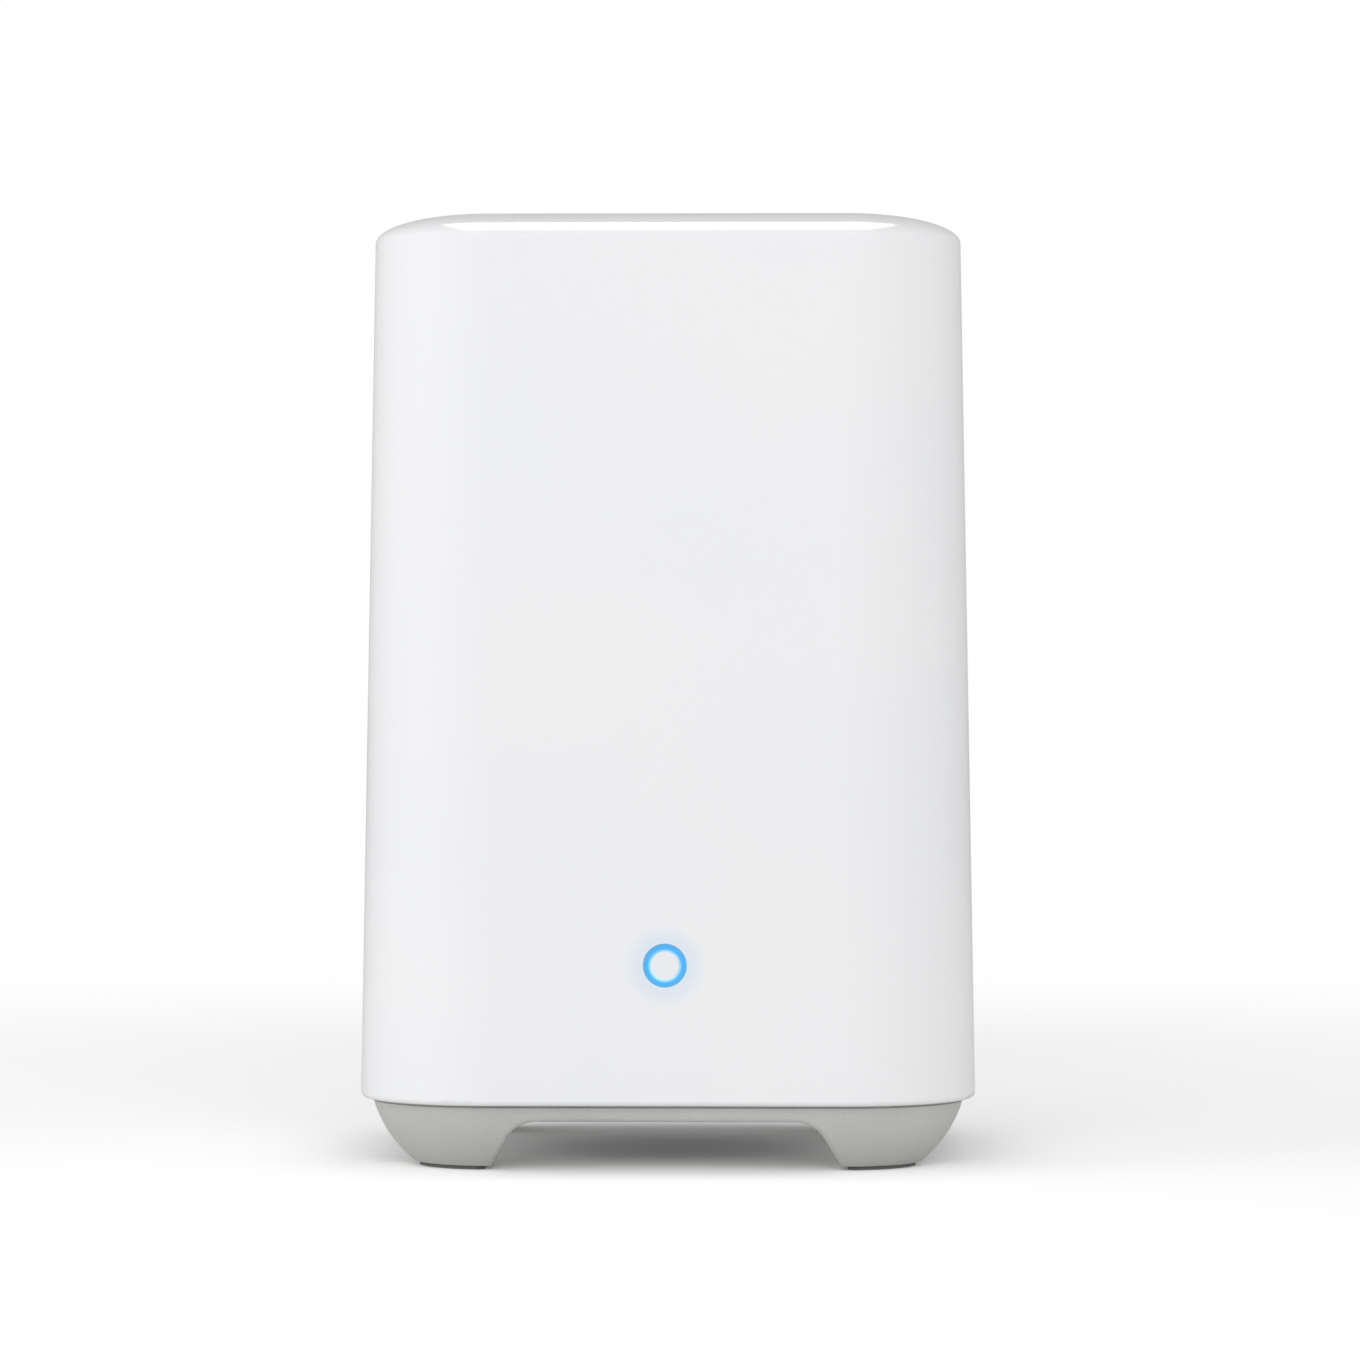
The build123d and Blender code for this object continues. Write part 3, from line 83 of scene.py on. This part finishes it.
gloss_abs, tree, place = new_material("gloss_abs_white")
flow = add_node(tree, "ShaderNodeTexNoise", {}, {"Vector": place, "Scale": 1 / flow_length, "Detail": 1.0})
ripple = add_node(
    tree, "ShaderNodeTexNoise", {}, {"Vector": place, "Scale": 1 / ripple_length, "Detail": 2.0},
)
tone = add_node(tree, "ShaderNodeMix", {"data_type": "RGBA"}, {
    "Factor": flow.outputs["Fac"], "A": linear("F0F1F3"), "B": linear("F4F4F5"),
})
# The moulding's colour is painted pale blue for 3 mm round the status light, a painted glow that stands for
# the light which thin ABS lets on from the diodes
away = add_node(tree, "ShaderNodeVectorMath", {"operation": "DISTANCE"}, {0: place, 1: ring_centre})
glow = add_node(tree, "ShaderNodeMapRange", {"interpolation_type": "SMOOTHERSTEP"}, {
    "Value": away.outputs["Value"], "From Min": glow_start, "From Max": glow_start + glow_reach,
    "To Min": glow_share, "To Max": 0.0,
})
# painted glow: the base colour is mixed towards pale blue near the ring, in place of the status light's own
# light
painted_glow_colour = add_node(tree, "ShaderNodeMix", {"data_type": "RGBA"}, {
    "Factor": glow.outputs["Result"], "A": tone.outputs["Result"], "B": linear("D6E6F7"),
})
skin = add_node(tree, "ShaderNodeBump", {}, {
    "Height": ripple.outputs["Fac"], "Strength": 0.02, "Distance": ripple_depth,
})
surface(tree, {
    "Base Color": painted_glow_colour.outputs["Result"], "Roughness": 0.12, "IOR": abs_ior,
    "Normal": skin.outputs["Normal"],
})
dress(gloss_abs, "outer_shell")


# Status light: a turned ring of clear acrylic glued into the front wall, a white ABS plug in its bore,
# and behind them a small board with four blue diodes. The diodes light the ring from its back end, so
# that its face glows evenly all round, palest at the bore.
ring_bore_radius = 0.0017
ring_rim_radius = 0.0026
acrylic_ior = 1.49

acrylic, tree, place = new_material("lit_acrylic_blue")
away = add_node(tree, "ShaderNodeVectorMath", {"operation": "DISTANCE"}, {0: place, 1: ring_centre})
across = add_node(tree, "ShaderNodeMapRange", {}, {
    "Value": away.outputs["Value"], "From Min": ring_bore_radius, "From Max": ring_rim_radius,
})
band = add_node(tree, "ShaderNodeValToRGB", {}, {"Fac": across.outputs["Result"]})
stops = band.color_ramp.elements
stops[0].color = linear("B5FAFF")
stops[1].color = linear("6AA0C0")
for share_across, colour in ((0.2, "82D2FF"), (0.4, "49AEFA"), (0.75, "50B0F2")):
    stops.new(share_across).color = linear(colour)
surface(tree, {
    "Base Color": linear("10304A"), "Emission Color": band.outputs["Color"], "Emission Strength": 0.95,
    "Roughness": 0.25, "IOR": acrylic_ior,
})
dress(acrylic, "light_guide")

# The plug's tool was blasted, which leaves a satin grain that is drawn here 0.4 mm coarse
plug_grain_size = 0.0004
plug_grain_depth = 0.00005

plug_abs, tree, place = new_material("satin_abs_white_plug")
grain = add_node(
    tree, "ShaderNodeTexNoise", {}, {"Vector": place, "Scale": 1 / plug_grain_size, "Detail": 3.0},
)
tone = add_node(tree, "ShaderNodeMix", {"data_type": "RGBA"}, {
    "Factor": grain.outputs["Fac"], "A": linear("ECEEF3"), "B": linear("F1F3F7"),
})
skin = add_node(tree, "ShaderNodeBump", {}, {
    "Height": grain.outputs["Fac"], "Strength": 0.1, "Distance": plug_grain_depth,
})
surface(tree, {
    "Base Color": tone.outputs["Result"], "Roughness": 0.35, "IOR": abs_ior,
    "Normal": skin.outputs["Normal"],
})
dress(plug_abs, "ring_cap")

# The diodes' domes are cast in clear epoxy, whose milky patches 0.8 mm across spread their light
cloud_size = 0.0008
clear_epoxy_ior = 1.54

epoxy, tree, place = new_material("clear_epoxy_diode")
cloud = add_node(tree, "ShaderNodeTexNoise", {}, {"Vector": place, "Scale": 1 / cloud_size})
lit = add_node(tree, "ShaderNodeMix", {"data_type": "RGBA"}, {
    "Factor": cloud.outputs["Fac"], "A": linear("9FD8FF"), "B": linear("D8F2FF"),
})
surface(tree, {
    "Base Color": lit.outputs["Result"], "Emission Color": lit.outputs["Result"], "Emission Strength": 1.0,
    "Roughness": 0.1, "IOR": clear_epoxy_ior,
})
dress(epoxy, "status_leds")


# Base: grey ABS from a spark eroded tool, with four feet, an arch between each two and a pad of darker
# rubber pressed under each foot. The erosion leaves a fine even matt grain, drawn here 0.35 mm coarse
# so that it shows.
eroded_grain_size = 0.00035
drift_grains = 40
tone_from, tone_to = 0.55, 0.95


def grained(name, dark, light, roughness, grain_size, grain_depth):
    """A plain surface with a grain of that size and depth in metres, and a slow drift of tone."""
    material, tree, place = new_material(name)
    grain = add_node(
        tree, "ShaderNodeTexNoise", {}, {"Vector": place, "Scale": 1 / grain_size, "Detail": 2.0},
    )
    drift = add_node(
        tree, "ShaderNodeTexNoise", {}, {"Vector": place, "Scale": 1 / (drift_grains * grain_size)},
    )
    mixed = add_node(tree, "ShaderNodeMath", {"operation": "MULTIPLY_ADD"}, {
        0: grain.outputs["Fac"], 1: 0.5, 2: drift.outputs["Fac"],
    })
    spread = add_node(tree, "ShaderNodeMapRange", {}, {
        "Value": mixed.outputs["Value"], "From Min": tone_from, "From Max": tone_to,
    })
    tone = add_node(tree, "ShaderNodeMix", {"data_type": "RGBA"}, {
        "Factor": spread.outputs["Result"], "A": linear(dark), "B": linear(light),
    })
    skin = add_node(tree, "ShaderNodeBump", {}, {
        "Height": grain.outputs["Fac"], "Strength": 0.5, "Distance": grain_depth,
    })
    surface(tree, {
        "Base Color": tone.outputs["Result"], "Roughness": roughness, "IOR": abs_ior,
        "Normal": skin.outputs["Normal"],
    })
    return material


dress(grained("matt_abs_grey", "BEBEBB", "C7C7C4", 0.62, eroded_grain_size, 0.00002), "base_dish")
dress(grained("thermoplastic_rubber_grey", "6A6A69", "747473", 0.8, 0.0005, 0.00003), "foot_pads")


# Speaker grille: a disc of steel pierced with small round holes, and pressed up into its seat between
# the feet. Its baked paint is matt, with a very shallow orange peel.
dress(grained("baked_paint_grey", "77777A", "7E7E80", 0.5, 0.0003, 0.00001), "speaker_grille")


# Speaker: a pressed steel basket and pole parts with a dull zinc plate, a sintered ferrite magnet, a
# pressed paper cone on a rubber roll and a stiffened cloth disc, and a foam ring that seals it. The
# plate shows the fine lines of the press and the rolling mill, drawn here some tenths of a mm wide.
roughness_drift = 0.08


def lined_metal(name, colour, roughness, line_size, line_depth, along=(1.0, 1.0, 1.0)):
    """A bare or plated metal with lines of that width in metres, drawn out along an axis of small share."""
    material, tree, place = new_material(name)
    stretched = add_node(tree, "ShaderNodeVectorMath", {"operation": "MULTIPLY"}, {0: place, 1: along})
    lines = add_node(tree, "ShaderNodeTexNoise", {}, {
        "Vector": stretched.outputs["Vector"], "Scale": 1 / line_size, "Detail": 3.0,
    })
    shine = add_node(tree, "ShaderNodeMapRange", {}, {
        "Value": lines.outputs["Fac"],
        "To Min": roughness - roughness_drift, "To Max": roughness + roughness_drift,
    })
    skin = add_node(tree, "ShaderNodeBump", {}, {
        "Height": lines.outputs["Fac"], "Strength": 0.4, "Distance": line_depth,
    })
    surface(tree, {
        "Base Color": linear(colour), "Metallic": 1.0, "Roughness": shine.outputs["Result"],
        "Normal": skin.outputs["Normal"],
    })
    return material


zinc_steel = lined_metal("zinc_plated_steel", "B4B6BA", 0.38, 0.0006, 0.00001)
dress(zinc_steel, "speaker_basket", "speaker_top_plate", "speaker_yoke", "speaker_screws")
dress(grained("sintered_ferrite", "2E2E31", "38383B", 0.55, 0.0006, 0.00002), "speaker_magnet")
dress(grained("pressed_paper_black", "262524", "3A3937", 0.9, 0.0006, 0.00005), "speaker_cone")
dress(grained("butyl_rubber_black", "1E1E1F", "262627", 0.6, 0.0005, 0.00001), "speaker_surround")
dress(grained("closed_cell_foam_black", "202021", "303031", 0.95, 0.0004, 0.00008), "speaker_gasket")
dress(grained("stiffened_cotton_amber", "9A7440", "B58C52", 0.85, 0.0004, 0.00006), "speaker_spider")
dress(grained("pressed_fibre_brown", "6A4B33", "7A583D", 0.75, 0.0005, 0.00002), "speaker_terminal")
dress(
    lined_metal("enamelled_copper_wire", "C87C50", 0.3, 0.0002, 0.00002, (0.05, 0.05, 1.0)),
    "voice_coil",
)


# Chassis: one moulding of black glass filled nylon that the boards screw to. Glass fibre makes it dull
# and slightly mottled. All its screws are zinc plated steel with a pan head.
dress(grained("glass_filled_nylon_black", "2A2B2D", "37383A", 0.6, 0.0005, 0.00002), "inner_frame")
dress(zinc_steel, "frame_screws", "board_screws", "led_screws", "base_screws")


# Boards: glass fibre and epoxy under a glossy solder resist, with their parts soldered on. Copper lines
# 0.3 mm wide in two sets lie under the resist, and show through as paler spots where the sets cross.
track_cell = 0.006
track_half_pitch = 0.00048
track_width = 0.0003
track_thickness = 0.00003
second_set_shift = 0.37
resist_ior = 1.55


def circuit_board(name, dark, light):
    """A board's resist in that colour, with its copper in the paler one."""
    material, tree, place = new_material(name)
    tracks = []
    for shift in (0.0, second_set_shift):
        shifted = add_node(tree, "ShaderNodeVectorMath", {"operation": "ADD"}, {0: place, 1: (shift,) * 3})
        cells = add_node(tree, "ShaderNodeTexVoronoi", {"distance": "MANHATTAN", "feature": "F1"}, {
            "Vector": shifted.outputs["Vector"], "Scale": 1 / track_cell, "Randomness": 0.5,
        })
        lines = add_node(tree, "ShaderNodeMath", {"operation": "PINGPONG"}, {
            0: cells.outputs["Distance"], 1: track_half_pitch / track_cell,
        })
        tracks.append(add_node(tree, "ShaderNodeMath", {"operation": "GREATER_THAN"}, {
            0: lines.outputs["Value"], 1: (track_half_pitch - track_width / 2) / track_cell,
        }))
    both = add_node(tree, "ShaderNodeMath", {"operation": "MULTIPLY"}, {
        0: tracks[0].outputs["Value"], 1: tracks[1].outputs["Value"],
    })
    tone = add_node(tree, "ShaderNodeMix", {"data_type": "RGBA"}, {
        "Factor": both.outputs["Value"], "A": linear(dark), "B": linear(light),
    })
    skin = add_node(tree, "ShaderNodeBump", {}, {
        "Height": both.outputs["Value"], "Strength": 0.5, "Distance": track_thickness,
    })
    surface(tree, {
        "Base Color": tone.outputs["Result"], "Roughness": 0.3, "IOR": resist_ior,
        "Normal": skin.outputs["Normal"],
    })
    return material


green_board = circuit_board("solder_resist_green", "123F26", "1E5A38")
dress(green_board, "main_board", "wifi_antenna", "band_antenna")
dress(circuit_board("solder_resist_white", "D4D8D6", "E2E4E2"), "led_board")
epoxy_black = grained("moulded_epoxy_black", "1C1C1E", "242426", 0.55, 0.0004, 0.00001)
dress(epoxy_black, "soc_chip", "memory_chips")
dress(
    lined_metal("extruded_aluminium", "B9BCC0", 0.35, 0.0004, 0.00001, (0.04, 1.0, 0.04)),
    "heat_sink",
)
dress(
    lined_metal("drawn_aluminium_can", "C9CCD0", 0.28, 0.0003, 0.00001, (0.05, 1.0, 1.0)),
    "capacitors",
)
tinned_steel = lined_metal("tin_plated_steel", "C6C7C4", 0.32, 0.0005, 0.00001, (1.0, 0.08, 1.0))
dress(tinned_steel, "wifi_shield")
natural_nylon = grained("natural_nylon", "D2C9B0", "DDD5BF", 0.45, 0.0006, 0.00001)
dress(natural_nylon, "speaker_header", "flex_sockets")


# Sockets: tin plated steel cans folded round black polyester mouldings, with gold plated spring
# contacts. The power inlet's pin and spring are nickel plated brass. Each plate is thin and bright, and
# keeps the lines of the strip that it is stamped from.
dress(tinned_steel, "network_shell", "usb_shell")
polyester_black = grained("glass_filled_polyester_black", "1B1B1C", "262627", 0.45, 0.0004, 0.00001)
dress(polyester_black, "network_core", "usb_core", "power_jack", "sync_switch", "reset_switch")
dress(polyester_black, "sync_plunger", "reset_plunger")
gold = lined_metal("gold_plated_bronze", "E3B65A", 0.25, 0.0004, 0.000005, (1.0, 0.1, 1.0))
dress(gold, "network_contacts", "usb_contacts", "antenna_sockets")
nickel = lined_metal("nickel_plated_brass", "CFCBC2", 0.2, 0.0004, 0.000005, (1.0, 0.1, 1.0))
dress(nickel, "power_pin", "power_spring")


# Rear panel and button: white ABS with a fine matt grain, staked behind the cover's wall, and a grey
# button cap that is polished only by fingers.
dress(grained("matt_abs_white", "E4E5E7", "EBECED", 0.5, eroded_grain_size, 0.00002), "rear_panel")
dress(grained("satin_abs_grey", "9A9B9D", "A4A5A7", 0.4, eroded_grain_size, 0.00001), "sync_button")


# Leads: grey jacketed coaxial wires to the antennas, a black pair to the speaker and an amber film
# ribbon to the light's board. All are drawn or cast smooth, so they shine a little.
dress(grained("coaxial_jacket_grey", "58595C", "626366", 0.4, 0.0005, 0.00001), "wifi_coax", "band_coax")
dress(grained("vinyl_jacket_black", "1D1D1E", "29292A", 0.4, 0.0005, 0.00001), "speaker_lead")
dress(grained("polyimide_film_amber", "A8691E", "BC7A2A", 0.25, 0.0008, 0.00001), "led_flex")


# Table: a sheet of opal acrylic lit a little from below. Its fine matt face takes the object's soft
# shadow, and the camera sees it fade to plain white 0.4 m away.
table_reach = 6.0
table_share = 0.75
table_share_seen = 1.2
table_glow = 0.065
fade_start = 0.12
fade_end = 0.4

floor_mesh = bpy.data.meshes.new("floor")
floor_mesh.from_pydata(
    [(x * table_reach, y * table_reach, 0.0) for x, y in ((-1, -1), (1, -1), (1, 1), (-1, 1))],
    [], [(0, 1, 2, 3)],
)
floor = bpy.data.objects.new("floor", floor_mesh)
bpy.context.scene.collection.objects.link(floor)
floor_paint, tree, place = new_material("opal_acrylic_table")
path = add_node(tree, "ShaderNodeLightPath", {}, {})
paint = add_node(tree, "ShaderNodeMapRange", {}, {
    "Value": path.outputs["Is Camera Ray"], "To Min": table_share, "To Max": table_share_seen,
})
matt = add_node(tree, "ShaderNodeBsdfDiffuse", {}, {"Color": paint.outputs["Result"]})
below = add_node(tree, "ShaderNodeEmission", {}, {"Color": linear("FFFFFF"), "Strength": table_glow})
table = add_node(tree, "ShaderNodeAddShader", {}, {0: matt.outputs["BSDF"], 1: below.outputs["Emission"]})
far = add_node(tree, "ShaderNodeEmission", {}, {"Color": linear("FFFFFF"), "Strength": 1.0})
distance = add_node(tree, "ShaderNodeVectorMath", {"operation": "LENGTH"}, {0: place})
fade = add_node(tree, "ShaderNodeMapRange", {"interpolation_type": "SMOOTHSTEP"}, {
    "Value": distance.outputs["Value"], "From Min": fade_start, "From Max": fade_end,
})
seen_far = add_node(tree, "ShaderNodeMath", {"operation": "MULTIPLY"}, {
    0: fade.outputs["Result"], 1: path.outputs["Is Camera Ray"],
})
mixed = add_node(tree, "ShaderNodeMixShader", {}, {
    0: seen_far.outputs["Value"], 1: table.outputs["Shader"], 2: far.outputs["Emission"],
})
add_node(tree, "ShaderNodeOutputMaterial", {}, {"Surface": mixed.outputs["Shader"]})
floor_mesh.materials.append(floor_paint)


# Room: a surround of white paper, which lights the object at about half strength. The camera sees it
# plain white.
room_light = 0.54

world = bpy.data.worlds.new("studio")
bpy.context.scene.world = world
world.use_nodes = True
tree = world.node_tree
tree.nodes.clear()
path = add_node(tree, "ShaderNodeLightPath", {}, {})
ambient = add_node(tree, "ShaderNodeBackground", {}, {"Color": linear("FFFFFF"), "Strength": room_light})
white = add_node(tree, "ShaderNodeBackground", {}, {"Color": linear("FFFFFF"), "Strength": 1.0})
shown = add_node(tree, "ShaderNodeMixShader", {}, {
    0: path.outputs["Is Camera Ray"], 1: ambient.outputs["Background"], 2: white.outputs["Background"],
})
add_node(tree, "ShaderNodeOutputWorld", {}, {"Surface": shown.outputs["Shader"]})


# Lamps: three boxes behind wide diffusers, in front and on both sides, and a panel over the table. The
# three leave no edge in the polish. The panel is what the polish shows, as the bright band along the
# cover's top. Places and sizes are in metres, and powers in watts.
def lamp(name, place, aim, width, height, power):
    """A rectangular soft lamp at a place, facing aim."""
    data = bpy.data.lights.new(name, "AREA")
    data.shape = "RECTANGLE"
    data.size, data.size_y, data.energy = width, height, power
    made = bpy.data.objects.new(name, data)
    made.location = place
    made.rotation_euler = (Vector(aim) - Vector(place)).to_track_quat("-Z", "Y").to_euler()
    bpy.context.scene.collection.objects.link(made)
    return made


for soft in (
    lamp("front", (0.0, -1.25, 0.60), (0, 0, 0.06), 1.2, 0.6, 5.1),
    lamp("left", (-1.19, -0.42, 0.35), (0, 0, 0.35), 1.3, 0.65, 5.6),
    lamp("right", (1.19, -0.42, 0.35), (0, 0, 0.35), 1.3, 0.65, 2.8),
):
    soft.visible_glossy = False
panel = lamp("overhead", (0.0, 0.25, 1.03), (0, 0.25, 0), 0.6, 1.05, 7.5)
panel.visible_diffuse = False


# Camera: it stands where the photograph was taken from, 0.7 m in front of the object, and looks very
# slightly down and to the left. Its focal length is worked out from the photograph's own pixels.
camera_place = (0.016, -0.700, 0.0626)
camera_pitch = 0.3546
camera_yaw = 1.227
focal_pixels = 5621
photo_pixels = 1360
film_width = 36.0
near_limit = 0.01
level_turn = 90

camera_data = bpy.data.cameras.new("camera")
camera_data.sensor_width = film_width
camera_data.lens = focal_pixels / photo_pixels * film_width
camera_data.clip_start = near_limit
camera = bpy.data.objects.new("camera", camera_data)
camera.location = camera_place
camera.rotation_euler = (math.radians(level_turn - camera_pitch), 0, math.radians(camera_yaw))
bpy.context.scene.collection.objects.link(camera)
bpy.context.scene.camera = camera
bpy.context.scene.view_settings.view_transform = "Standard"
